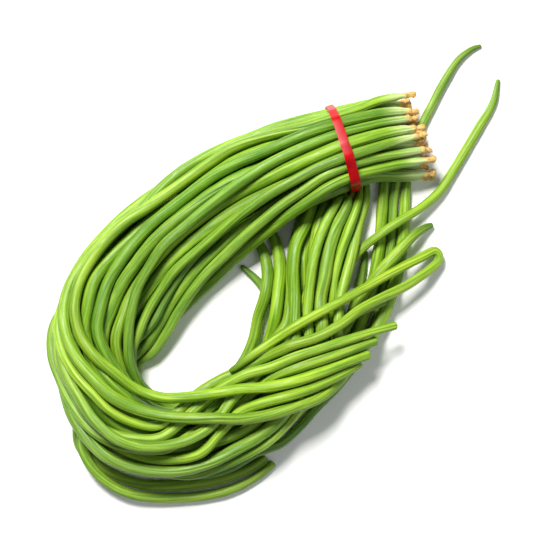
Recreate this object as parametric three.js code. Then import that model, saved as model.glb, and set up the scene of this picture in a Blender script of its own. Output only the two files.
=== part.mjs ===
// A bunch of yardlong beans: long thin pods tied near their stalks with a flat rubber band and
// laid down in one loop. The bunch runs from the stalks through the band, round the loop, and
// fans out to pass back under itself. Millimetres, +Z up, lying on the plane z = 0, with the
// origin under the centre of the bunch's box.
import * as THREE from "three";

// ---- Driving dimensions ---------------------------------------------------------------------
const PODS = 30; // pods in the bunch
const POD_RADIUS = 3.65; // of a middling pod, half way along
const RADIUS_SPREAD = 0.55; // the thickest and thinnest pods differ from it by this
const FOLDED_RADIUS = 3.1; // of the pod that is folded back on itself
const SLENDER_RADIUS = 2.9; // of the two pods with long loose tips
const SIDES = 6; // facets round a pod
const RING_STEP = 16; // between sections along a pod
const FOLD_REACH = 14; // either side of a fold, where sections are close together
const FOLD_STEP = 4;
const KNOB_LENGTH = 2.4; // the knob where a pod was picked
const STALK_LENGTH = 6;
const TIP_LENGTH = 34; // the tapering end
const TIP_RADIUS = 0.42; // at its very end, as a part of the pod's own
const BLUNT_TIP_RADIUS = 0.72;
const OWN_REACH = 24; // sections of one pod nearer than this along it are left alone
const LANE_STEPS = 70; // places that give a pod's course along the whole strand
const MEASURES = 1200; // short lengths that a pod's own length is measured in
const CLEARANCE = 0.3; // between pieces that lie against each other
const SLANTED_ENDS = 0.018; // how far along the strand, from 0 to 1, its outermost pods start
const UNEVEN_ENDS = 0.006;
const UNEVEN_TIPS = 0.03;
const BAND_WIDTH = 6.4;
const BAND_THICKNESS = 1.3;
const BAND_STATION = 2; // which station the band sits at
const BAND_POINTS = 40; // round the band
const BAND_REACH = 20; // to either side of the band, where pods beneath leave it room
const TIED_LENGTH = 110; // the band holds the pods somewhere within this from their stalks

// The bunch as one thick strand, station by station from the stalks to the tips. wide and high
// are half the strand's width and height between the outermost pods' centrelines, and turn is
// how far the strand has twisted, in degrees, outer side over the top.
const STATIONS = [
  { x: 100, y: 85.5, z: 38, wide: 27, high: 17, turn: 0 }, // stalk ends
  { x: 70, y: 82, z: 38, wide: 24.5, high: 17, turn: 0 },
  { x: 43, y: 75, z: 38, wide: 18.5, high: 17, turn: 0 }, // the band
  { x: 12, y: 63.5, z: 36, wide: 25, high: 16, turn: 5 },
  { x: -20, y: 48, z: 30, wide: 30, high: 14.5, turn: 10 },
  { x: -49, y: 28, z: 25, wide: 31, high: 13, turn: 18 },
  { x: -75, y: 6, z: 21, wide: 32.5, high: 12.5, turn: 28 },
  { x: -95.5, y: -19, z: 19, wide: 32.5, high: 12.5, turn: 42 },
  { x: -109.5, y: -45, z: 19, wide: 28.5, high: 13.5, turn: 70 },
  { x: -106, y: -71, z: 20, wide: 18, high: 16, turn: 105 }, // left end of the loop
  { x: -96, y: -92, z: 20.5, wide: 16.5, high: 17, turn: 135 },
  { x: -79, y: -104, z: 19.5, wide: 18, high: 16, turn: 155 },
  { x: -52, y: -107, z: 18, wide: 20, high: 14.5, turn: 170 },
  { x: -23, y: -97, z: 16, wide: 19, high: 13, turn: 180 },
  { x: 2, y: -76, z: 15, wide: 17, high: 12, turn: 180 }, // start of the fan
  { x: 20, y: -48, z: 12, wide: 19, high: 9, turn: 180 },
  { x: 22, y: -18, z: 11, wide: 19, high: 8, turn: 180 },
  { x: 27, y: 13, z: 11, wide: 24.5, high: 8, turn: 180 },
  { x: 34, y: 40, z: 10, wide: 21, high: 7, turn: 180 },
  { x: 40, y: 76, z: 9, wide: 20, high: 5, turn: 180 }, // tips, under the band
];

// Pods that leave the strand. leaves is how far along the strand, from 0 to 1, and to lists
// where the rest of the pod goes, in millimetres. fold says which place of the list is a fold,
// radius is the pod's own where it isn't a middling one, and a blunt pod hardly tapers.
const LOOSE_ENDS = {
  // Two pods that cross over the strand at the left end of the loop, from its outer side to its
  // inner side. The first then swings out over the fan; the second is the fan's right side.
  30: {
    leaves: 0.22,
    blunt: true,
    to: [[-75, 42, 36], [-95, 28, 37], [-110, 11, 38], [-120, -7, 40], [-123, -27, 41],
      [-118, -43, 41], [-110, -55, 40], [-100, -64, 38], [-88, -71, 37], [-76, -76, 36], [-64, -77, 35],
      [-46, -75, 34], [-22, -70, 32], [2, -66, 28], [33, -59, 24], [59, -51, 20]],
  },
  22: {
    leaves: 0.25,
    to: [[-86, 30, 31], [-106, 13, 33], [-120, -6, 35], [-127, -28, 37], [-122, -48, 38],
      [-111, -63, 38], [-98, -75, 37], [-83, -83, 35], [-64, -88, 34], [-45, -89, 32],
      [-22, -88, 30], [3, -82, 26], [22, -74, 22], [36, -64, 18], [48, -51, 15], [60, -36, 14],
      [68, -15, 13], [75, 7, 13], [78, 30, 13], [79, 52, 13], [79, 68, 13]],
  },
  // Two outermost pods that stop short.
  26: {
    leaves: 0.46,
    blunt: true,
    to: [[-125, -104, 11], [-113, -124, 11], [-91, -138, 11], [-64, -142, 9], [-38, -140, 8],
      [-17, -133, 8], [0, -120, 8]],
  },
  18: {
    leaves: 0.46,
    blunt: true,
    to: [[-121, -106, 4], [-110, -123, 4], [-90, -134, 4], [-66, -136, 5], [-39, -133, 6],
      [-19, -126.5, 6], [-4, -118, 6]],
  },
  // Two inner pods that swing out over the fan: a blunt one and the folded one.
  19: {
    leaves: 0.6,
    blunt: true,
    to: [[-34, -74, 26], [-14, -65, 26], [4, -59, 27], [26, -50, 26], [49, -42, 24], [76, -34, 20]],
  },
  27: {
    leaves: 0.6,
    radius: FOLDED_RADIUS,
    to: [[-38, -72, 24], [-19, -65, 24], [2, -55, 26], [18, -46, 28], [34, -38, 28],
      [49, -27, 28], [65, -18, 26], [78, -12, 25], [86, -7, 24], [94, -2, 23], [100, 2.5, 23],
      [104, 8, 23], [101, 12.5, 24], [94, 9.5, 25], [86, 5.5, 27], [73, -1, 30], [54, -12, 33],
      [29, -26, 34], [2, -43, 34], [-18, -58, 34], [-26, -63, 33]],
    fold: 11,
  },
  // Three that cross the fan beside them, and stop at its right side.
  24: {
    leaves: 0.62,
    blunt: true,
    to: [[-28, -84, 22], [-8, -71, 20], [12, -61, 20], [33, -53, 19], [52, -46.5, 17],
      [64, -42.5, 14]],
  },
  16: {
    leaves: 0.64,
    blunt: true,
    to: [[-22, -86, 24], [0, -77, 24], [20, -69.5, 22], [38, -61.5, 19], [53, -54.5, 15]],
  },
  11: {
    leaves: 0.66,
    to: [[0, -62, 17], [18, -49, 18], [38, -38, 18], [56, -28, 16], [73, -21, 12]],
  },
  // Tips that come out to the right of the fan.
  5: {
    leaves: 0.72,
    to: [[35, -46, 14], [55, -18, 14], [69, 2, 16], [82, 16, 14], [91, 25, 11], [100, 29, 8]],
  },
  13: {
    leaves: 0.7,
    radius: SLENDER_RADIUS,
    to: [[18, -46, 12], [36, -16, 12], [51, 10, 16], [67, 23.5, 20], [80.5, 32.5, 19],
      [101.5, 47, 14], [119, 73, 10], [130, 91.5, 8], [138.5, 106.5, 7], [141.8, 121, 6]],
  },
  10: {
    leaves: 0.69,
    radius: SLENDER_RADIUS,
    to: [[7, -94, 5], [21, -81, 5], [34, -67, 5], [46.5, -54.5, 5], [57, -41, 5], [67, -23, 5],
      [71, -3, 5], [74.5, 17, 4], [76, 44, 4], [83, 69, 5], [95, 97, 6], [105, 116.5, 7],
      [114, 130, 8], [122.5, 139.5, 8], [131, 142.5, 8]],
  },
  // The fan's right side, which runs on under the stalks.
  23: {
    leaves: 0.7,
    to: [[20, -75, 9], [36, -60, 10], [51, -34, 11], [61, -10, 11], [68, 12, 11], [70.5, 40, 9],
      [71.5, 72, 9]],
  },
  15: {
    leaves: 0.7,
    to: [[36, -50, 4], [48, -26, 4], [54, -6, 4], [58, 13, 4]],
  },
  // The fan's left side: a pod on its own, one beside it, and a tip that pokes out under them.
  17: {
    leaves: 0.64,
    to: [[-24, -67, 10], [-17, -56, 9], [-12, -43, 9], [-9.5, -30, 8], [-5.5, -18, 8],
      [-3.5, -6, 8], [-4.5, 7, 8], [-10, 18, 7], [-19, 31, 6]],
  },
  9: {
    leaves: 0.68,
    to: [[5, -52, 9], [8, -36, 9], [7.5, -20, 9], [7.5, -6, 8], [6, 8, 8], [2, 21, 7], [-5, 34, 6]],
  },
  25: {
    leaves: 0.64,
    to: [[-6, -68, 6], [8, -52, 5], [10, -39, 4], [6, -27, 4], [0, -16, 4], [-7, -7, 4],
      [-19, 3, 4]],
  },
};

// How far pods stray from their place in the strand, as a part of its width and height, and how
// many times they do so along it.
const STRAY = [
  { far: 0.13, times: 1.2 },
  { far: 0.05, times: 2.3 },
];

// How the laid-out pods settle against each other and the table.
const SETTLING = {
  rounds: 420,
  lookAgain: 10, // rounds after which the pods that are near each other are found again
  near: 3, // millimetres apart, at most
  passes: 3, // of pushing apart in a round
  push: 0.9, // of the way apart in a pass
  quiet: 120, // rounds at the end in which nothing moves but what still overlaps
  fall: 0.12, // millimetres a round
  hold: 0.03, // of the way back to where it was laid
  squeeze: 0.03, // of the way to the band's middle
  smooth: 0.35, // of the way to its neighbours' shift
};

const UP = new THREE.Vector3(0, 0, 1);

// A repeatable number from 0 to 1 for pod i.
function varied(i, salt) {
  const x = Math.sin(i * 12.9898 + salt * 78.233) * 43758.5453;
  return x - Math.floor(x);
}

// ---- The strand and its lanes ---------------------------------------------------------------
// One smooth curve through the stations for each of their values.
const spine = new THREE.CatmullRomCurve3(STATIONS.map((s) => new THREE.Vector3(s.x, s.y, s.z)));
const shape = new THREE.CatmullRomCurve3(
  STATIONS.map((s) => new THREE.Vector3(s.wide, s.high, THREE.MathUtils.degToRad(s.turn))),
);

// How far pod i strays from its slot at t, in one direction.
function stray(i, salt, t) {
  const part = ({ far, times }, n) =>
    far * Math.sin(2 * Math.PI * (times * t + varied(i, salt + n)));
  return STRAY.map(part).reduce((sum, one) => sum + one, 0);
}

// Where the lane with slot (across, above), each from -1 to 1, runs at t, from 0 to 1.
function lanePoint(slot, t) {
  const centre = spine.getPoint(t);
  const along = spine.getTangent(t).setZ(0).normalize();
  const outward = along.clone().cross(UP);
  const { x: wide, y: high, z: turn } = shape.getPoint(t);
  const across = slot.x * Math.cos(turn) - slot.y * Math.sin(turn);
  const above = slot.x * Math.sin(turn) + slot.y * Math.cos(turn);
  return centre.addScaledVector(outward, across * wide).addScaledVector(UP, above * high);
}

// The band's own place: its middle, the way along the strand there, and the strand's outer side.
const bandMiddle = spine.getPoint(BAND_STATION / (STATIONS.length - 1));
const bandAlong = spine.getTangent(BAND_STATION / (STATIONS.length - 1)).setZ(0).normalize();
const bandOutward = bandAlong.clone().cross(UP);

// How far a point lies beyond the band's plane, along the strand.
function pastBand(point) {
  return point.clone().sub(bandMiddle).dot(bandAlong);
}

// Slots spread evenly over a disc, in a sunflower spiral.
function slotOf(i) {
  const radius = Math.sqrt((i + 0.5) / PODS);
  const angle = i * Math.PI * (3 - Math.sqrt(5));
  return new THREE.Vector2(radius * Math.cos(angle), radius * Math.sin(angle));
}

// ---- One pod --------------------------------------------------------------------------------
// A pod's radius at a distance from its stalk end: a knob where it was picked, a thin stalk, the
// pod's shoulders, its even length, and a tapering tip.
function radiusAt(distance, length, full, end) {
  const stalk = [
    [0, 1.5],
    [KNOB_LENGTH, 2.1],
    [STALK_LENGTH, 1.7],
    [STALK_LENGTH + 5, full * 0.74],
    [STALK_LENGTH + 16, full * 0.88],
    [STALK_LENGTH + 40, full],
  ];
  const tip = [
    [TIP_LENGTH, full],
    [TIP_LENGTH * 0.4, full * THREE.MathUtils.lerp(end, 1, 0.66)],
    [TIP_LENGTH * 0.12, full * THREE.MathUtils.lerp(end, 1, 0.3)],
    [0, full * end],
  ];
  const profile = [...stalk, ...tip.map(([back, radius]) => [length - back, radius])];
  const next = profile.findIndex(([at]) => at >= distance);
  if (next <= 0) return next === 0 ? profile[0][1] : profile[profile.length - 1][1];
  const [a, ra] = profile[next - 1];
  const [b, rb] = profile[next];
  return THREE.MathUtils.lerp(ra, rb, (distance - a) / (b - a));
}

// Distances from the stalk end at which a pod has a section: close together at its two ends and
// where it is folded, and evenly spaced between.
function sectionDistances(length, fold) {
  const ends = [0, KNOB_LENGTH, STALK_LENGTH, STALK_LENGTH + 5, STALK_LENGTH + 16];
  const tips = [TIP_LENGTH, TIP_LENGTH * 0.4, TIP_LENGTH * 0.12, 0].map((d) => length - d);
  const stretch = (from, to, step) => {
    const count = Math.max(1, Math.round((to - from) / step));
    return Array.from({ length: count - 1 }, (_, k) => from + ((to - from) * (k + 1)) / count);
  };
  const from = ends[ends.length - 1];
  const middle = fold
    ? [
        ...stretch(from, fold - FOLD_REACH, RING_STEP),
        fold - FOLD_REACH,
        ...stretch(fold - FOLD_REACH, fold + FOLD_REACH, FOLD_STEP),
        fold + FOLD_REACH,
        ...stretch(fold + FOLD_REACH, tips[0], RING_STEP),
      ]
    : stretch(from, tips[0], RING_STEP);
  return [...ends, ...middle, ...tips];
}

// Pod i as sections along its line, before it settles.
function layPod(i) {
  const number = i + 1;
  const loose = LOOSE_ENDS[number];
  const slot = slotOf(i);
  const slanted = (SLANTED_ENDS * (1 + slot.x)) / 2;
  const start = slanted + UNEVEN_ENDS * varied(i, 1);
  const end = loose?.leaves ?? 1 - UNEVEN_TIPS * varied(i, 2);
  const steps = Math.round(LANE_STEPS * (end - start));
  const lane = Array.from({ length: steps + 1 }, (_, k) => {
    const t = start + ((end - start) * k) / steps;
    const at = new THREE.Vector2(slot.x + stray(i, 10, t), slot.y + stray(i, 20, t));
    return lanePoint(at, t);
  });
  const rest = (loose?.to ?? []).map((at) => new THREE.Vector3(...at));
  const route = [...lane, ...rest];
  const curve = new THREE.CatmullRomCurve3(route, false, "centripetal");
  curve.arcLengthDivisions = MEASURES;
  const lengths = curve.getLengths();
  const length = lengths[MEASURES];
  const foldAt = loose?.fold && (lane.length + loose.fold) / (route.length - 1);
  const fold = foldAt && lengths[Math.round(MEASURES * foldAt)];
  const full = loose?.radius ?? POD_RADIUS + RADIUS_SPREAD * (2 * varied(i, 3) - 1);
  const distances = sectionDistances(length, fold);
  const points = distances.map((d) => curve.getPointAt(Math.min(1, d / length)));
  const tip = loose?.blunt ? BLUNT_TIP_RADIUS : TIP_RADIUS;
  const radii = distances.map((d) => radiusAt(d, length, full, tip));
  const banded = points.map(
    (at, k) => distances[k] < TIED_LENGTH && Math.abs(pastBand(at)) < BAND_REACH,
  );
  return { name: `pod_${String(number).padStart(2, "0")}`, distances, points, radii, banded };
}

// ---- Settling -------------------------------------------------------------------------------
const clamped = (v) => Math.min(1, Math.max(0, v));
const d1 = new THREE.Vector3();
const d2 = new THREE.Vector3();
const between = new THREE.Vector3();

// The closest points of segments p1-q1 and p2-q2, as how far along each they lie, from 0 to 1.
function closest(p1, q1, p2, q2) {
  d1.subVectors(q1, p1);
  d2.subVectors(q2, p2);
  between.subVectors(p1, p2);
  const a = d1.dot(d1);
  const e = d2.dot(d2);
  const f = d2.dot(between);
  const c = d1.dot(between);
  const b = d1.dot(d2);
  const denominator = a * e - b * b;
  const s = denominator > 1e-9 ? clamped((b * f - c * e) / denominator) : 0.5;
  const t = (b * s + f) / e;
  if (t >= 0 && t <= 1) return [s, t];
  const end = clamped(t);
  return [clamped((b * end - c) / a), end];
}

// Every pair of segments near enough to meet soon.
function nearPairs(segments, reach) {
  const pairs = [];
  for (let i = 0; i < segments.length; i++) {
    const a = segments[i];
    for (let j = i + 1; j < segments.length; j++) {
      const b = segments[j];
      if (a.pod === b.pod && Math.abs(a.distance - b.distance) < OWN_REACH) continue;
      const dx = a.p.x + a.q.x - b.p.x - b.q.x;
      const dy = a.p.y + a.q.y - b.p.y - b.q.y;
      const dz = a.p.z + a.q.z - b.p.z - b.q.z;
      const far = a.half + b.half + a.r + b.r + reach;
      if (dx * dx + dy * dy + dz * dz < 4 * far * far) pairs.push([a, b]);
    }
  }
  return pairs;
}

// Moves apart the pairs that are closer than their radii allow.
function separate(pairs, share) {
  const normal = new THREE.Vector3();
  const near = new THREE.Vector3();
  for (const [a, b] of pairs) {
    const [s, t] = closest(a.p, a.q, b.p, b.q);
    normal.lerpVectors(a.p, a.q, s).sub(near.lerpVectors(b.p, b.q, t));
    const apart = normal.length();
    const wanted = a.r0 + (a.r1 - a.r0) * s + b.r0 + (b.r1 - b.r0) * t + CLEARANCE;
    const depth = wanted - apart;
    if (depth <= 0) continue;
    if (apart < 1e-6) normal.set(0, 0, 1);
    else normal.divideScalar(apart);
    const weight = (1 - s) ** 2 + s ** 2 + (1 - t) ** 2 + t ** 2;
    const push = (share * depth) / weight;
    a.p.addScaledVector(normal, push * (1 - s));
    a.q.addScaledVector(normal, push * s);
    b.p.addScaledVector(normal, -push * (1 - t));
    b.q.addScaledVector(normal, -push * t);
  }
}

// Circles where the pods that the band ties pass through it, in its plane.
function tiedCircles(pods) {
  const circles = [];
  for (const pod of pods) {
    for (let k = 1; pod.distances[k - 1] < TIED_LENGTH; k++) {
      const [p, q] = [pod.points[k - 1], pod.points[k]];
      const from = pastBand(p);
      const to = pastBand(q);
      for (const edge of [-1, -0.5, 0, 0.5, 1]) {
        const s = ((edge * BAND_WIDTH) / 2 - from) / (to - from);
        if (s < 0 || s > 1) continue;
        const at = p.clone().lerp(q, s).sub(bandMiddle);
        const slant = (to - from) / p.distanceTo(q);
        const r = Math.max(pod.radii[k - 1], pod.radii[k]) / slant;
        circles.push({ x: at.dot(bandOutward), y: at.z, r });
      }
    }
  }
  return circles;
}

// The outline of the circles, seen from BAND_POINTS directions: in each the circle that reaches
// farthest, and how far.
function outlineOf(circles) {
  return Array.from({ length: BAND_POINTS }, (_, n) => {
    const angle = (2 * Math.PI * n) / BAND_POINTS;
    const [c, s] = [Math.cos(angle), Math.sin(angle)];
    const reaches = circles.map((o) => o.x * c + o.y * s + o.r);
    const reach = Math.max(...reaches);
    return { c, s, reach, circle: circles[reaches.indexOf(reach)] };
  });
}

// Moves the pods that pass beneath the band out of its way.
function clearBand(pods) {
  const outline = outlineOf(tiedCircles(pods));
  for (const pod of pods) {
    pod.points.forEach((p, k) => {
      if (pod.distances[k] < TIED_LENGTH || Math.abs(pastBand(p)) > BAND_REACH) return;
      const x = p.clone().sub(bandMiddle).dot(bandOutward);
      const y = p.z - bandMiddle.z;
      const gaps = outline.map(({ c, s, reach }) => x * c + y * s - reach);
      const gap = Math.max(...gaps);
      const short = pod.radii[k] + BAND_THICKNESS + 3 * CLEARANCE - gap;
      if (short <= 0) return;
      const { c, s } = outline[gaps.indexOf(gap)];
      p.addScaledVector(bandOutward, short * c).addScaledVector(UP, short * s);
    });
  }
}

// Settles the pods: they fall a little at a time, keep their bends smooth and stay near where
// they were laid, while those that meet push each other apart.
function settle(pods) {
  const segments = pods.flatMap((pod, n) =>
    pod.points.slice(1).map((q, k) => ({
      pod: n,
      p: pod.points[k],
      q,
      r0: pod.radii[k],
      r1: pod.radii[k + 1],
      r: Math.max(pod.radii[k], pod.radii[k + 1]),
      half: pod.points[k].distanceTo(q) / 2,
      distance: (pod.distances[k] + pod.distances[k + 1]) / 2,
    })),
  );
  const apothem = Math.cos(Math.PI / SIDES);
  const under = 3 * CLEARANCE + BAND_THICKNESS;
  const laid = pods.map((pod) => pod.points.map((p) => p.clone()));
  let pairs = [];
  const moved = new THREE.Vector3();
  const knot = new THREE.Vector3();
  for (let round = 0; round < SETTLING.rounds; round++) {
    const quiet = round > SETTLING.rounds - SETTLING.quiet;
    if (round % SETTLING.lookAgain === 0) pairs = nearPairs(segments, SETTLING.near);
    if (!quiet) {
      const tied = pods.flatMap((pod) => pod.points.filter((_, k) => pod.banded[k]));
      knot.set(0, 0, 0);
      tied.forEach((p) => knot.addScaledVector(p, 1 / tied.length));
      pods.forEach((pod, n) => {
        const shift = pod.points.map((p, k) => p.clone().sub(laid[n][k]));
        pod.points.forEach((p, k) => {
          const before = shift[Math.max(0, k - 1)];
          const after = shift[Math.min(shift.length - 1, k + 1)];
          moved.addVectors(before, after).multiplyScalar(0.5).sub(shift[k]);
          p.addScaledVector(moved, SETTLING.smooth);
          p.x -= SETTLING.hold * shift[k].x;
          p.y -= SETTLING.hold * shift[k].y;
          p.z -= SETTLING.fall;
          if (!pod.banded[k]) return;
          moved.subVectors(knot, p);
          moved.addScaledVector(bandAlong, -moved.dot(bandAlong));
          p.addScaledVector(moved, SETTLING.squeeze);
        });
      });
    }
    for (let pass = 0; pass < SETTLING.passes; pass++) separate(pairs, SETTLING.push);
    clearBand(pods);
    pods.forEach((pod) =>
      pod.points.forEach((p, k) => {
        const r = pod.radii[k];
        p.z = Math.max(p.z, pod.banded[k] ? r + under : r * apothem);
      }),
    );
  }
}

// ---- Solids ---------------------------------------------------------------------------------
const podSkin = new THREE.MeshStandardMaterial({ color: 0x7fb53f, roughness: 0.45 });
const redRubber = new THREE.MeshStandardMaterial({ color: 0xd00f16, roughness: 0.35 });

// A capped cylinder bent along the pod's centreline, with its own radius at each section and one
// facet facing down.
function podMesh({ name, points, radii }) {
  const last = points.length - 1;
  const tube = new THREE.CylinderGeometry(1, 1, 1, SIDES, last, false, Math.PI / SIDES);
  const place = tube.getAttribute("position");
  const frames = points.map((_, k) => {
    const along = points[Math.min(k + 1, last)].clone().sub(points[Math.max(k - 1, 0)]).normalize();
    const side = UP.clone().cross(along).normalize();
    return { side, above: along.clone().cross(side) };
  });
  for (let v = 0; v < place.count; v++) {
    const k = Math.round((0.5 - place.getY(v)) * last);
    const { side, above } = frames[k];
    const at = points[k]
      .clone()
      .addScaledVector(side, place.getX(v) * radii[k])
      .addScaledVector(above, place.getZ(v) * radii[k]);
    place.setXYZ(v, at.x, at.y, at.z);
  }
  const mesh = new THREE.Mesh(tube, podSkin);
  mesh.name = name;
  return mesh;
}

// The band lies round the pods' outline, drawn in the plane across the strand.
function bandMesh(pods) {
  const outline = outlineOf(tiedCircles(pods));
  const line = (gap) =>
    outline.map(
      ({ c, s, circle }) =>
        new THREE.Vector2(circle.x + c * (circle.r + gap), circle.y + s * (circle.r + gap)),
    );
  const section = new THREE.Shape(line(CLEARANCE + BAND_THICKNESS));
  section.holes.push(new THREE.Path(line(CLEARANCE)));
  const ring = new THREE.ExtrudeGeometry(section, { depth: BAND_WIDTH, bevelEnabled: false });
  ring.translate(0, 0, -BAND_WIDTH / 2);
  const mesh = new THREE.Mesh(ring, redRubber);
  mesh.name = "rubber_band";
  const backward = bandOutward.clone().cross(UP);
  mesh.applyMatrix4(
    new THREE.Matrix4().makeBasis(bandOutward, UP, backward).setPosition(bandMiddle),
  );
  return mesh;
}

const pods = Array.from({ length: PODS }, (_, i) => layPod(i));
settle(pods);
const bunch = new THREE.Group();
bunch.add(...pods.map(podMesh), bandMesh(pods));

// The origin goes under the centre of the bunch's box.
const box = new THREE.Box3().setFromObject(bunch);
const centre = box.getCenter(new THREE.Vector3());
bunch.children.forEach((mesh) => {
  mesh.position.x -= centre.x;
  mesh.position.y -= centre.y;
});

export default bunch;
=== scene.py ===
"""The looks of a bunch of yardlong beans, tied with a red rubber band and laid down in a loop.

Each CAD pod is a coarse tube. Its sections give the line and the radius of a fine pod with
sutures, seeds, pale shoulders, a dry stalk end and a tapered or blunt tip. The CAD band gives
the outline of a rubber band with rounded, slightly uneven edges. Metres, +Z up, table at z = 0.
"""

import math

import bpy
import numpy as np
from mathutils import Matrix, Vector, geometry, noise


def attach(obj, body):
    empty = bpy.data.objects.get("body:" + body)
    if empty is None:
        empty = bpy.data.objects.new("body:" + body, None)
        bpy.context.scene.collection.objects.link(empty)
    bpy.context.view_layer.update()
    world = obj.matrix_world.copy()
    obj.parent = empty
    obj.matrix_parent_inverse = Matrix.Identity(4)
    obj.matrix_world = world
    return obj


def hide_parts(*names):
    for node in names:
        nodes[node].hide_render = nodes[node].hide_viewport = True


MM = 0.001

# ---- Driving values ---------------------------------------------------------------------------
CAD_SIDES = 6  # facets round a CAD pod
POD_SIDES = 28  # round a fine pod
POD_STEP = 1.7 * MM  # between its rings
STALK_STEP = 0.45 * MM  # between them where the stalk is
STALK_REACH = 12 * MM  # from the stalk's end, how far that goes
SUTURE_CROWDING = 0.33  # how closely the sides gather at the two sutures
TURN_LENGTH = 520 * MM  # in which a pod twists once round
SEED_SPACING = 14 * MM
STALK_STOP = 8 * MM  # from the stalk's end, where the pod itself starts
TIP_REACH = 3 * MM  # from the tip, how far its close rings go
TIP_RINGS = 9
TIP_ROUNDING = 0.75  # length of the round tip, as a part of the pod's radius there
THICKNESS_WANDER = 0.05  # up and down, as a part of the radius
FLATNESS = 0.07  # how much thinner a pod is one way than the other
RIDGE, RIDGE_OFF, RIDGE_SPREAD = 0.040, 0.26, 0.13  # beside a suture: height and radians
GROOVE, GROOVE_SPREAD = 0.055, 0.11  # in a suture
SEED_SWELLING = 0.020
ROUGHNESS = 0.34  # of the dry stalk end, as a part of its radius
LOWEST = 0.2 * MM  # of a pod that rests on the table
BLUNT_FROM = 0.6  # a pod whose end is wider than this part of its middle is blunt
BLUNT_SHARE = 0.88  # how wide its skin stays near its end, as a part of its middle
BLUNT_REACH = (32 * MM, 12 * MM)  # from its end, between which it widens to that
GRAIN_ROUND = 3.6  # radius of a pod's skin in the space that its fine streaks are made in
GRAIN_APART = 900.0  # between pods in that space

# The pods' colours, linear, from which each pod takes its own mix.
LIME = np.array([0.200, 0.350, 0.012])
LEAF = np.array([0.074, 0.200, 0.005])
DEEP = np.array([0.024, 0.092, 0.003])
MISTY = np.array([0.185, 0.315, 0.060])
PALE = np.array([0.400, 0.520, 0.200])  # shoulders, next to the stalk
STRAW = np.array([0.560, 0.350, 0.100])  # the dry stalk end
BARK = np.array([0.260, 0.105, 0.022])

# Lime, leaf, deep and misty shares: the least and the most that a usual pod has of each, and
# those of the pods whose colour stands out.
USUAL_COLOURS = ((0.1, 0.5, 0.0, 0.0), (0.8, 1.0, 0.35, 0.6))
OWN_COLOURS = {
    "pod_27": (1.0, 0.2, 0.0, 0.2),
    "pod_30": (0.7, 0.5, 0.0, 0.1),
    "pod_22": (0.5, 0.6, 0.0, 0.2),
    "pod_10": (0.0, 0.5, 0.35, 0.35),
    "pod_13": (0.5, 0.6, 0.1, 0.1),
    "pod_19": (0.5, 0.5, 0.0, 0.4),
}

VIEW_SPAN = 334.8 * MM  # that the picture shows, from side to side
VIEW_MIDDLE = Vector((-3.2, 2.0, 15)) * MM  # what is in the middle of it
LENS = 85
SENSOR = 36


# ---- Reading the CAD pods ---------------------------------------------------------------------
def linked_points(mesh):
    """A mesh's distinct points, and for each the set of points it shares a face with."""
    corners = np.array([v.co for v in mesh.vertices])
    points, index = np.unique(np.round(corners, 6), axis=0, return_inverse=True)
    index = index.ravel()
    links = [set() for _ in points]
    for face in mesh.polygons:
        around = {int(index[v]) for v in face.vertices}
        for corner in around:
            links[corner] |= around - {corner}
    return points, links


def rings_from(links, start, most=10000):
    """The points one, two, three and more steps from start."""
    seen = {start}
    rings = []
    ring = {start}
    while ring and len(rings) < most:
        ring = set().union(*(links[p] for p in ring)) - seen
        seen |= ring
        if ring:
            rings.append(sorted(ring))
    return rings


def is_end(links, point):
    """Whether a point is the middle of an end cap: it alone has two equal rings about it."""
    first_two = rings_from(links, point, most=2)
    return [len(ring) for ring in first_two] == [CAD_SIDES, CAD_SIDES]


def pod_sections(node):
    """A CAD pod's section centres and radii, from its stalk end to its tip."""
    points, links = linked_points(node.data)
    end = next(p for p in range(len(points)) if is_end(links, p))
    rings = [points[ring] for ring in rings_from(links, end) if len(ring) == CAD_SIDES]
    centres = np.array([ring.mean(axis=0) for ring in rings])
    radii = np.array([np.linalg.norm(r - c, axis=1).mean() for r, c in zip(rings, centres)])
    starts_with_knob = radii[1] > radii[2]
    if starts_with_knob:
        return centres, radii
    return centres[::-1], radii[::-1]


def distances_along(points):
    """How far along a line each of its points is."""
    steps = np.linalg.norm(np.diff(points, axis=0), axis=1)
    return np.concatenate([[0], np.cumsum(steps)])


def smooth_line(points, at):
    """Points at distances `at` along a smooth curve through the given ones."""
    along = distances_along(points)
    slopes = np.gradient(points, along, axis=0)
    k = np.clip(np.searchsorted(along, at, side="right") - 1, 0, len(along) - 2)
    span = (along[k + 1] - along[k])[:, None]
    t = (at - along[k])[:, None] / span
    return (
        (2 * t**3 - 3 * t**2 + 1) * points[k]
        + (t**3 - 2 * t**2 + t) * span * slopes[k]
        + (3 * t**2 - 2 * t**3) * points[k + 1]
        + (t**3 - t**2) * span * slopes[k + 1]
    )


def carried_frames(centres):
    """Directions along, beside and above a line, turning no more than the line does."""
    along = np.gradient(centres, axis=0)
    along /= np.linalg.norm(along, axis=1)[:, None]
    beside = np.zeros_like(along)
    side = np.cross((0, 0, 1), along[0])
    for k, forward in enumerate(along):
        side = side - forward * side.dot(forward)
        side /= np.linalg.norm(side)
        beside[k] = side
    return along, beside, np.cross(along, beside)


# ---- Making a pod -----------------------------------------------------------------------------
def wander(at, scale, seed):
    """A smooth wandering number about 0 for each value in `at`, changing over `scale`."""
    return np.array([noise.noise((a / scale, 17.3 * seed, 3.1)) for a in at])


def eased(at, start, stop):
    """0 before start, 1 after stop, and smooth between."""
    t = np.clip((at - start) / (stop - start), 0, 1)
    return t * t * (3 - 2 * t)


def ring_places(length):
    """Where along a pod its rings are: closest at the stalk and at the very tip."""
    fine = np.arange(0, STALK_REACH, STALK_STEP)
    count = round((length - STALK_REACH - TIP_REACH) / POD_STEP)
    middle = np.linspace(STALK_REACH, length - TIP_REACH, count, endpoint=False)
    tip = length - TIP_REACH * (1 - np.linspace(0, 1, TIP_RINGS)) ** 1.6
    return np.concatenate([fine, middle, tip])


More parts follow.
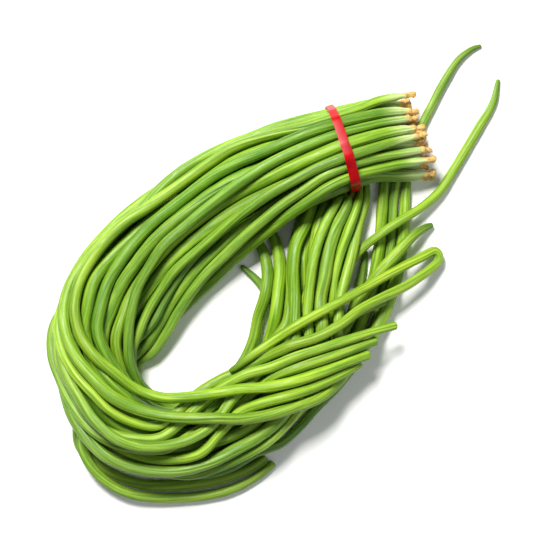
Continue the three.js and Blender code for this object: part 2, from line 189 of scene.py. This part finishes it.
def stalk_radius(at, chance):
    """The dry stalk end: a torn knob, a waist, and the ring where the flower was."""
    knob, waist, cup = chance.uniform((1.9, 1.1, 1.9), (2.6, 1.6, 2.4)) * MM
    knob_at, waist_at = chance.uniform((1.1, 3.6), (2.0, 4.6)) * MM
    places = [0, knob_at, waist_at, 6.2 * MM, 7.4 * MM]
    return np.interp(at, places, [knob * 0.62, knob, waist, cup, cup * 0.93])


def body_radius(at, centres_at, radii, blunt, chance, seed):
    """A pod's mean radius at each place."""
    length = centres_at[-1]
    stalk = stalk_radius(at, chance)
    full = np.interp(at, centres_at, radii)
    if blunt:
        near_tip = eased(at, length - BLUNT_REACH[0], length - BLUNT_REACH[1])
        full = full + (BLUNT_SHARE * np.median(radii) - full) * near_tip
    radius = stalk + (full - stalk) * eased(at, 6.5 * MM, 15 * MM)
    radius *= 1 + THICKNESS_WANDER * wander(at, 34 * MM, seed) * eased(at, 12 * MM, 30 * MM)
    rounding = TIP_ROUNDING * radii[-1]
    into_tip = np.clip((at - (length - rounding)) / rounding, 0, 1)
    return radius * np.sqrt(np.maximum(1 - into_tip**2, 1e-4))


def profile(angle, at, seed):
    """How far out the skin is at each place and angle, as a part of the mean radius: wider
    across the two sutures, each with a groove between two low ridges, and swollen by seeds."""
    flattened = 1 - FLATNESS * np.sin(angle) ** 2
    sutures = np.zeros(np.broadcast(angle, at).shape)
    for middle, depth in ((0, 1.0), (math.pi, 0.55)):
        off = np.abs((angle - middle + math.pi) % (2 * math.pi) - math.pi)
        ridges = RIDGE * np.exp(-(((off - RIDGE_OFF) / RIDGE_SPREAD) ** 2))
        groove = GROOVE * np.exp(-((off / GROOVE_SPREAD) ** 2))
        sutures = sutures + depth * (ridges - groove)
    drift = wander(at[:, 0], 60 * MM, seed + 5)[:, None]
    swelling = SEED_SWELLING * np.cos(2 * math.pi * (at / SEED_SPACING + drift))
    seeds = swelling * np.sin(angle) ** 2
    body = eased(at, STALK_STOP, 24 * MM)
    return 1 + (flattened - 1 + sutures + seeds) * body


def pod_colour(name, at, angle, blunt, seed, chance):
    """The skin's colour at each place and angle, before its fine streaks, with painted light on
    the far part of the pod.
    """
    length = at[-1]
    drawn = chance.uniform(*USUAL_COLOURS)
    shares = np.array(OWN_COLOURS.get(name, drawn))
    shares = shares / shares.sum()
    steady = shares @ np.array([LIME, LEAF, DEEP, MISTY])
    lighter = wander(at, 70 * MM, seed + 1)
    colour = steady[None, :] * (1 + 0.22 * lighter)[:, None]
    colour = colour[:, None, :] * (1 + 0.10 * np.cos(angle + seed))[None, :, None]
    along = at[:, None, None]
    # Painted light: the far part of each pod is made paler and more yellow, as if more brightly
    # lit there.
    painted_light_far_end = 0.35 * eased(along, 0.60 * length, 0.78 * length)
    colour = colour + (LIME * 1.1 - colour) * painted_light_far_end
    shoulder = 0.75 * (1 - eased(along, STALK_STOP, 26 * MM))
    colour = colour + (PALE - colour) * shoulder
    tip = eased(along, length - 26 * MM, length - 2 * MM)
    darkening = 0.15 if blunt else chance.uniform(0.25, 0.7)
    colour = colour + (DEEP - colour) * tip * darkening
    return np.clip(colour, 0, 1)


def make_pod(node, seed):
    """A fine pod in place of a CAD pod."""
    chance = np.random.default_rng(seed)
    centres, radii = pod_sections(node)
    centres_at = distances_along(centres)
    length = centres_at[-1]
    blunt = radii[-1] > BLUNT_FROM * np.median(radii)
    at = ring_places(length)
    line = smooth_line(centres, at)
    along, beside, above = carried_frames(line)

    # The dry stalk end is bent to one side.
    lean = chance.uniform(0, 2 * math.pi)
    bent = chance.uniform(0.6, 2.2) * MM * np.clip(1 - at / (6 * MM), 0, 1) ** 1.6
    line = line + bent[:, None] * (math.cos(lean) * beside + math.sin(lean) * above)

    even = np.arange(POD_SIDES) * 2 * math.pi / POD_SIDES
    angle = even - SUTURE_CROWDING * np.sin(2 * even)
    first_turn = chance.uniform(0, 2 * math.pi)
    twist = first_turn + 2 * math.pi * at / TURN_LENGTH * chance.choice([-1, 1])
    radius = body_radius(at, centres_at, radii, blunt, chance, seed)
    out = radius[:, None] * profile(angle[None, :], at[:, None], seed)

    # Torn and knobbly where it is dry.
    for k in np.flatnonzero(at < STALK_STOP):
        rough = ROUGHNESS * (1 - eased(at[k], 6 * MM, STALK_STOP))
        for j, a in enumerate(angle):
            spot = (math.cos(a) * 1.3, math.sin(a) * 1.3, at[k] / (1.7 * MM) + 9.7 * seed)
            out[k, j] *= 1 + rough * noise.noise(spot)

    facing = angle[None, :] + twist[:, None]
    across = np.cos(facing)[:, :, None] * beside[:, None, :]
    upward = np.sin(facing)[:, :, None] * above[:, None, :]
    skin = line[:, None, :] + out[:, :, None] * (across + upward)
    tail = line[-1] + along[-1] * 0.1 * MM
    verts = np.concatenate([skin.reshape(-1, 3), [line[0] + along[0] * 0.3 * MM], [tail]])
    verts[:, 2] = np.maximum(verts[:, 2], LOWEST)

    rings = len(at)
    grid = np.arange(rings * POD_SIDES).reshape(rings, POD_SIDES)
    beyond = np.roll(grid, -1, axis=1)
    quads = np.stack([grid[:-1], beyond[:-1], beyond[1:], grid[1:]], axis=-1).reshape(-1, 4)
    first, last = rings * POD_SIDES, rings * POD_SIDES + 1
    caps = [(first, int(b), int(a)) for a, b in zip(grid[0], beyond[0])]
    caps += [(last, int(a), int(b)) for a, b in zip(grid[-1], beyond[-1])]
    mesh = bpy.data.meshes.new(node.name + "_skin")
    mesh.from_pydata(verts.tolist(), [], quads.tolist() + caps)
    mesh.shade_smooth()

    grain = np.stack(
        [
            np.broadcast_to(np.cos(angle) * GRAIN_ROUND, out.shape),
            np.broadcast_to(np.sin(angle) * GRAIN_ROUND, out.shape),
            np.broadcast_to(at[:, None] / MM, out.shape),
        ],
        axis=-1,
    )
    grain = grain + (0, 0, GRAIN_APART * seed)
    add_attribute(mesh, "grain", "FLOAT_VECTOR", "vector", with_poles(grain))
    tint = pod_colour(node.name, at, angle, blunt, seed, chance)
    tint = np.concatenate([tint, np.ones(tint.shape[:2] + (1,))], axis=-1)
    add_attribute(mesh, "tint", "FLOAT_COLOR", "color", with_poles(tint))
    ragged = 1.1 * MM * np.cos(3 * angle + seed)[None, :, None]
    dry = 1 - eased(at[:, None, None] + ragged, 6.4 * MM, 9.6 * MM)
    add_attribute(mesh, "dry", "FLOAT", "value", with_poles(dry))
    piece = bpy.data.objects.new(node.name + "_skin", mesh)
    bpy.context.scene.collection.objects.link(piece)
    return piece


def with_poles(values):
    """Values for the rings' points, with the first and last repeated for the two poles."""
    flat = values.reshape(-1, values.shape[-1])
    return np.concatenate([flat, flat[:1], flat[-1:]])


def add_attribute(mesh, name, kind, field, values):
    attribute = mesh.attributes.new(name, kind, "POINT")
    attribute.data.foreach_set(field, np.ascontiguousarray(values, dtype=np.float32).ravel())


# ---- The rubber band --------------------------------------------------------------------------
BAND_STEP = 0.8 * MM  # between sections round the band
BAND_SECTION = 28  # points round a section
BAND_SLIMMEST = 0.78  # of its full width, where it is stretched most
BAND_SQUARENESS = 0.36  # below 1 squares the section's corners
BAND_CROWN = 0.10 * MM  # how much its outer face bulges
BAND_WANDER = 0.35 * MM  # to either side, along the pods


def make_band(node):
    """A soft-edged rubber band along the outline of the CAD band."""
    points, _ = linked_points(node.data)
    middle = points.mean(axis=0)
    _, _, directions = np.linalg.svd(points - middle)
    across = directions[2]  # along the pods: the band's width
    up = np.array([0, 0, 1.0]) - across * across[2]
    up /= np.linalg.norm(up)
    side = np.cross(up, across)
    flat = [((p - middle).dot(side), (p - middle).dot(up)) for p in points]
    width = np.ptp((points - middle) @ across)
    hull = geometry.convex_hull_2d([Vector(p) for p in flat])
    outline = np.array([flat[i] for i in hull])
    inside = [p for i, p in enumerate(flat) if i not in set(hull)]
    thickness = min(np.linalg.norm(np.array(inside) - outline[0], axis=1))

    closed = np.concatenate([outline, outline[:1]])
    along = distances_along(closed)
    count = round(along[-1] / BAND_STEP)
    at = np.arange(count) * along[-1] / count
    line = np.stack([np.interp(at, along, closed[:, axis]) for axis in (0, 1)], axis=1)
    for _ in range(3):
        line = 0.25 * np.roll(line, 1, axis=0) + 0.5 * line + 0.25 * np.roll(line, -1, axis=0)
    forward = np.roll(line, -1, axis=0) - np.roll(line, 1, axis=0)
    forward /= np.linalg.norm(forward, axis=1)[:, None]
    outward = np.stack([forward[:, 1], -forward[:, 0]], axis=1)
    outward *= np.sign((outward * line).sum(axis=1).mean())

    turn = np.arange(BAND_SECTION) * 2 * math.pi / BAND_SECTION
    u = np.sign(np.cos(turn)) * np.abs(np.cos(turn)) ** BAND_SQUARENESS
    v = np.sign(np.sin(turn)) * np.abs(np.sin(turn)) ** BAND_SQUARENESS
    slim = 0.5 - 0.5 * line[:, 0] / np.abs(line[:, 0]).max()
    share = BAND_SLIMMEST + (1 - BAND_SLIMMEST) * slim
    ripple = np.array([noise.noise((a / (7 * MM), 4.0, 9.0)) for a in at])
    ripple *= np.sin(math.pi * np.arange(count) / count)
    half = 0.5 * width * share
    offset = BAND_WANDER * ripple
    crowned = BAND_CROWN * (1 - u**2)
    depth = 0.5 * thickness * (v - 1)
    plane = line[:, None, :] + (depth + crowned * (v > 0))[None, :, None] * outward[:, None, :]
    place = (
        middle
        + plane[..., :1] * side
        + plane[..., 1:] * up
        + (half[:, None] * u[None, :] + offset[:, None])[..., None] * across
    )
    grid = np.arange(count * BAND_SECTION).reshape(count, BAND_SECTION)
    quads = np.stack(
        [grid, np.roll(grid, -1, 1), np.roll(np.roll(grid, -1, 1), -1, 0), np.roll(grid, -1, 0)],
        axis=-1,
    ).reshape(-1, 4)
    mesh = bpy.data.meshes.new("band")
    mesh.from_pydata(place.reshape(-1, 3).tolist(), [], quads.tolist())
    mesh.shade_smooth()
    loop = 2 * math.pi * np.arange(count) / count
    grain = np.stack(
        [
            np.broadcast_to((20 * np.cos(loop))[:, None], (count, BAND_SECTION)),
            np.broadcast_to((20 * np.sin(loop))[:, None], (count, BAND_SECTION)),
            np.broadcast_to((u * 3.2)[None, :], (count, BAND_SECTION)),
        ],
        axis=-1,
    )
    add_attribute(mesh, "grain", "FLOAT_VECTOR", "vector", grain)
    piece = bpy.data.objects.new("band", mesh)
    bpy.context.scene.collection.objects.link(piece)
    return piece


# ---- Materials --------------------------------------------------------------------------------
class Nodes:
    """Short ways to add nodes to a material and join them."""

    def __init__(self, name):
        self.material = bpy.data.materials.new(name)
        self.material.use_nodes = True
        self.tree = self.material.node_tree
        self.shader = self.tree.nodes["Principled BSDF"]

    def add(self, kind, values=None, **settings):
        node = self.tree.nodes.new(kind)
        for key, value in settings.items():
            setattr(node, key, value)
        for key, value in (values or {}).items():
            if isinstance(value, bpy.types.NodeSocket):
                self.tree.links.new(value, node.inputs[key])
            else:
                node.inputs[key].default_value = value
        return node

    def attribute(self, name, output):
        return self.add("ShaderNodeAttribute", attribute_name=name).outputs[output]

    def stretched(self, vector, scale):
        return self.add(
            "ShaderNodeVectorMath", {0: vector, 1: scale}, operation="MULTIPLY"
        ).outputs[0]

    def noise(self, vector, scale, detail=2.0, roughness=0.5):
        values = {"Vector": vector, "Scale": scale, "Detail": detail, "Roughness": roughness}
        return self.add("ShaderNodeTexNoise", values).outputs["Fac"]

    def ranged(self, value, low, high, to_low=0.0, to_high=1.0):
        values = {"Value": value, "From Min": low, "From Max": high, "To Min": to_low}
        values["To Max"] = to_high
        return self.add("ShaderNodeMapRange", values).outputs["Result"]

    def mixed(self, share, a, b, blend="MIX"):
        node = self.add("ShaderNodeMix", data_type="RGBA", blend_type=blend)
        for socket, value in ((node.inputs[0], share), (node.inputs[6], a), (node.inputs[7], b)):
            if isinstance(value, bpy.types.NodeSocket):
                self.tree.links.new(value, socket)
            else:
                socket.default_value = value
        return node.outputs[2]

    def math(self, operation, a, b):
        return self.add("ShaderNodeMath", {0: a, 1: b}, operation=operation).outputs[0]

    def join(self, output, socket):
        self.tree.links.new(output, self.shader.inputs[socket])


def pod_material():
    n = Nodes("pod_skin")
    grain = n.attribute("grain", "Vector")
    tint = n.attribute("tint", "Color")
    dry = n.attribute("dry", "Fac")

    # Long soft streaks, fine hairlines, and small pale specks.
    streaks = n.noise(n.stretched(grain, (1.0, 1.0, 0.035)), 0.75, 3.0)
    hairs = n.noise(n.stretched(grain, (1.0, 1.0, 0.05)), 3.2, 2.0)
    mottle = n.noise(n.stretched(grain, (1.0, 1.0, 0.35)), 0.55, 3.0)
    specks = n.noise(n.stretched(grain, (1.0, 1.0, 0.4)), 4.5, 1.0)
    light = n.ranged(streaks, 0.46, 0.62)
    dark = n.ranged(streaks, 0.46, 0.30, 0.0, 0.7)
    lines = n.ranged(hairs, 0.48, 0.64, 0.0, 0.5)
    patches = n.ranged(mottle, 0.5, 0.72, 0.0, 0.4)
    skin = n.mixed(light, tint, (1.75, 1.42, 1.9, 1), "MULTIPLY")
    skin = n.mixed(dark, skin, (0.38, 0.56, 0.4, 1), "MULTIPLY")
    skin = n.mixed(lines, skin, (0.50, 0.66, 0.45, 1), "MULTIPLY")
    skin = n.mixed(patches, skin, (1.3, 1.12, 1.6, 1), "MULTIPLY")
    skin = n.mixed(n.ranged(specks, 0.68, 0.76, 0.0, 0.5), skin, (0.55, 0.66, 0.25, 1))

    # The dry stalk end: straw with bark in its hollows, and a painted highlight on its crests.
    crumbs = n.noise(grain, 1.1, 4.0, 0.62)
    straw_and_highlight = n.mixed(n.ranged(crumbs, 0.30, 0.50), (*BARK, 1), (*STRAW, 1))
    # Painted highlight: a pale straw tone on the crests of the knobbly relief.
    straw_and_highlight = n.mixed(n.ranged(crumbs, 0.52, 0.66), straw_and_highlight, (0.72, 0.56, 0.28, 1))
    n.join(n.mixed(dry, skin, straw_and_highlight), "Base Color")

    gloss = n.ranged(mottle, 0.3, 0.7, 0.38, 0.56)
    n.join(n.add("ShaderNodeMix", {0: dry, 2: gloss, 3: 0.85}).outputs[0], "Roughness")
    n.shader.inputs["Specular IOR Level"].default_value = 0.32

    fine = n.math("MULTIPLY", hairs, 0.5)
    lengthwise = n.math("ADD", streaks, fine)
    coarse = n.math("MULTIPLY", crumbs, 3.0)
    relief = n.add("ShaderNodeMix", {0: dry, 2: lengthwise, 3: coarse}).outputs[0]
    bump = n.add("ShaderNodeBump", {"Strength": 0.5, "Distance": 0.22 * MM, "Height": relief})
    n.join(bump.outputs[0], "Normal")
    return n.material


def rubber_material():
    n = Nodes("red_rubber")
    grain = n.attribute("grain", "Vector")
    cloud = n.noise(grain, 0.16, 3.0)
    lines = n.noise(n.stretched(grain, (0.12, 0.12, 1.0)), 2.4, 2.0)
    dust_and_highlight = n.noise(grain, 2.6, 3.0, 0.6)
    red = n.mixed(n.ranged(cloud, 0.35, 0.65), (0.29, 0.0, 0.002, 1), (0.43, 0.001, 0.004, 1))
    red = n.mixed(n.ranged(lines, 0.5, 0.7, 0.0, 0.35), red, (0.20, 0.001, 0.002, 1))
    # Pale pink spots: partly dust, partly a painted highlight.
    red = n.mixed(n.ranged(dust_and_highlight, 0.64, 0.78, 0.0, 0.15), red, (0.60, 0.05, 0.05, 1))
    n.shader.inputs["Specular IOR Level"].default_value = 0.18
    n.join(red, "Base Color")
    n.join(n.ranged(dust_and_highlight, 0.35, 0.7, 0.24, 0.42), "Roughness")
    bump = n.add("ShaderNodeBump", {"Strength": 0.35, "Distance": 0.08 * MM, "Height": lines})
    n.join(bump.outputs[0], "Normal")
    return n.material


def table_material():
    n = Nodes("table")
    place = n.add("ShaderNodeTexCoord").outputs["Object"]
    n.join(n.ranged(n.noise(place, 6.0), 0.3, 0.7, 0.72, 0.82), "Roughness")
    n.shader.inputs["Base Color"].default_value = (0.92, 0.92, 0.915, 1)
    n.shader.inputs["Specular IOR Level"].default_value = 0.1
    return n.material


# ---- The scene --------------------------------------------------------------------------------
def soft_light(name, place, size, power, colour):
    light = bpy.data.lights.new(name, "AREA")
    light.size = size
    light.energy = power
    light.color = colour
    lamp = bpy.data.objects.new(name, light)
    bpy.context.scene.collection.objects.link(lamp)
    lamp.location = place
    lamp.rotation_euler = (-Vector(place)).to_track_quat("-Z", "Y").to_euler()


def add_studio():
    world = bpy.data.worlds.new("studio")
    world.use_nodes = True
    background = world.node_tree.nodes["Background"]
    background.inputs["Color"].default_value = (0.95, 0.98, 1.0, 1)
    background.inputs["Strength"].default_value = 0.20
    bpy.context.scene.world = world
    soft_light("key", (-0.30, 0.62, 0.95), 0.34, 27.0, (1.0, 0.985, 0.95))
    soft_light("fill", (0.75, -0.35, 0.75), 0.9, 3.0, (0.95, 0.98, 1.0))

    bpy.ops.mesh.primitive_plane_add(size=4)
    table = bpy.context.object
    table.name = "table"
    table.data.materials.append(table_material())


def add_camera():
    camera = bpy.data.cameras.new("camera")
    camera.lens = LENS
    camera.sensor_width = SENSOR
    away = VIEW_SPAN * LENS / SENSOR
    holder = bpy.data.objects.new("camera", camera)
    bpy.context.scene.collection.objects.link(holder)
    holder.matrix_world = Matrix.Translation(VIEW_MIDDLE + Vector((0, 0, away)))
    bpy.context.scene.camera = holder


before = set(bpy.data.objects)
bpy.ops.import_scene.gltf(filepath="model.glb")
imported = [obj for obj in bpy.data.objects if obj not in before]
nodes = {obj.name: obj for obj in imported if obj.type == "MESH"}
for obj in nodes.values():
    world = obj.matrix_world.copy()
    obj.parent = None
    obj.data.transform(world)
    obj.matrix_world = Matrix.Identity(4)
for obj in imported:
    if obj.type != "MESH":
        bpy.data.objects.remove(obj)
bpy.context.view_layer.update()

skin_material = pod_material()
for count, name in enumerate(sorted(n for n in nodes if n.startswith("pod_"))):
    pod = make_pod(nodes[name], count + 1)
    pod.data.materials.append(skin_material)
    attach(pod, "root")
    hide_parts(name)

band = make_band(nodes["rubber_band"])
band.data.materials.append(rubber_material())
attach(band, "root")
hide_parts("rubber_band")

add_studio()
add_camera()
bpy.context.scene.view_settings.view_transform = "Standard"
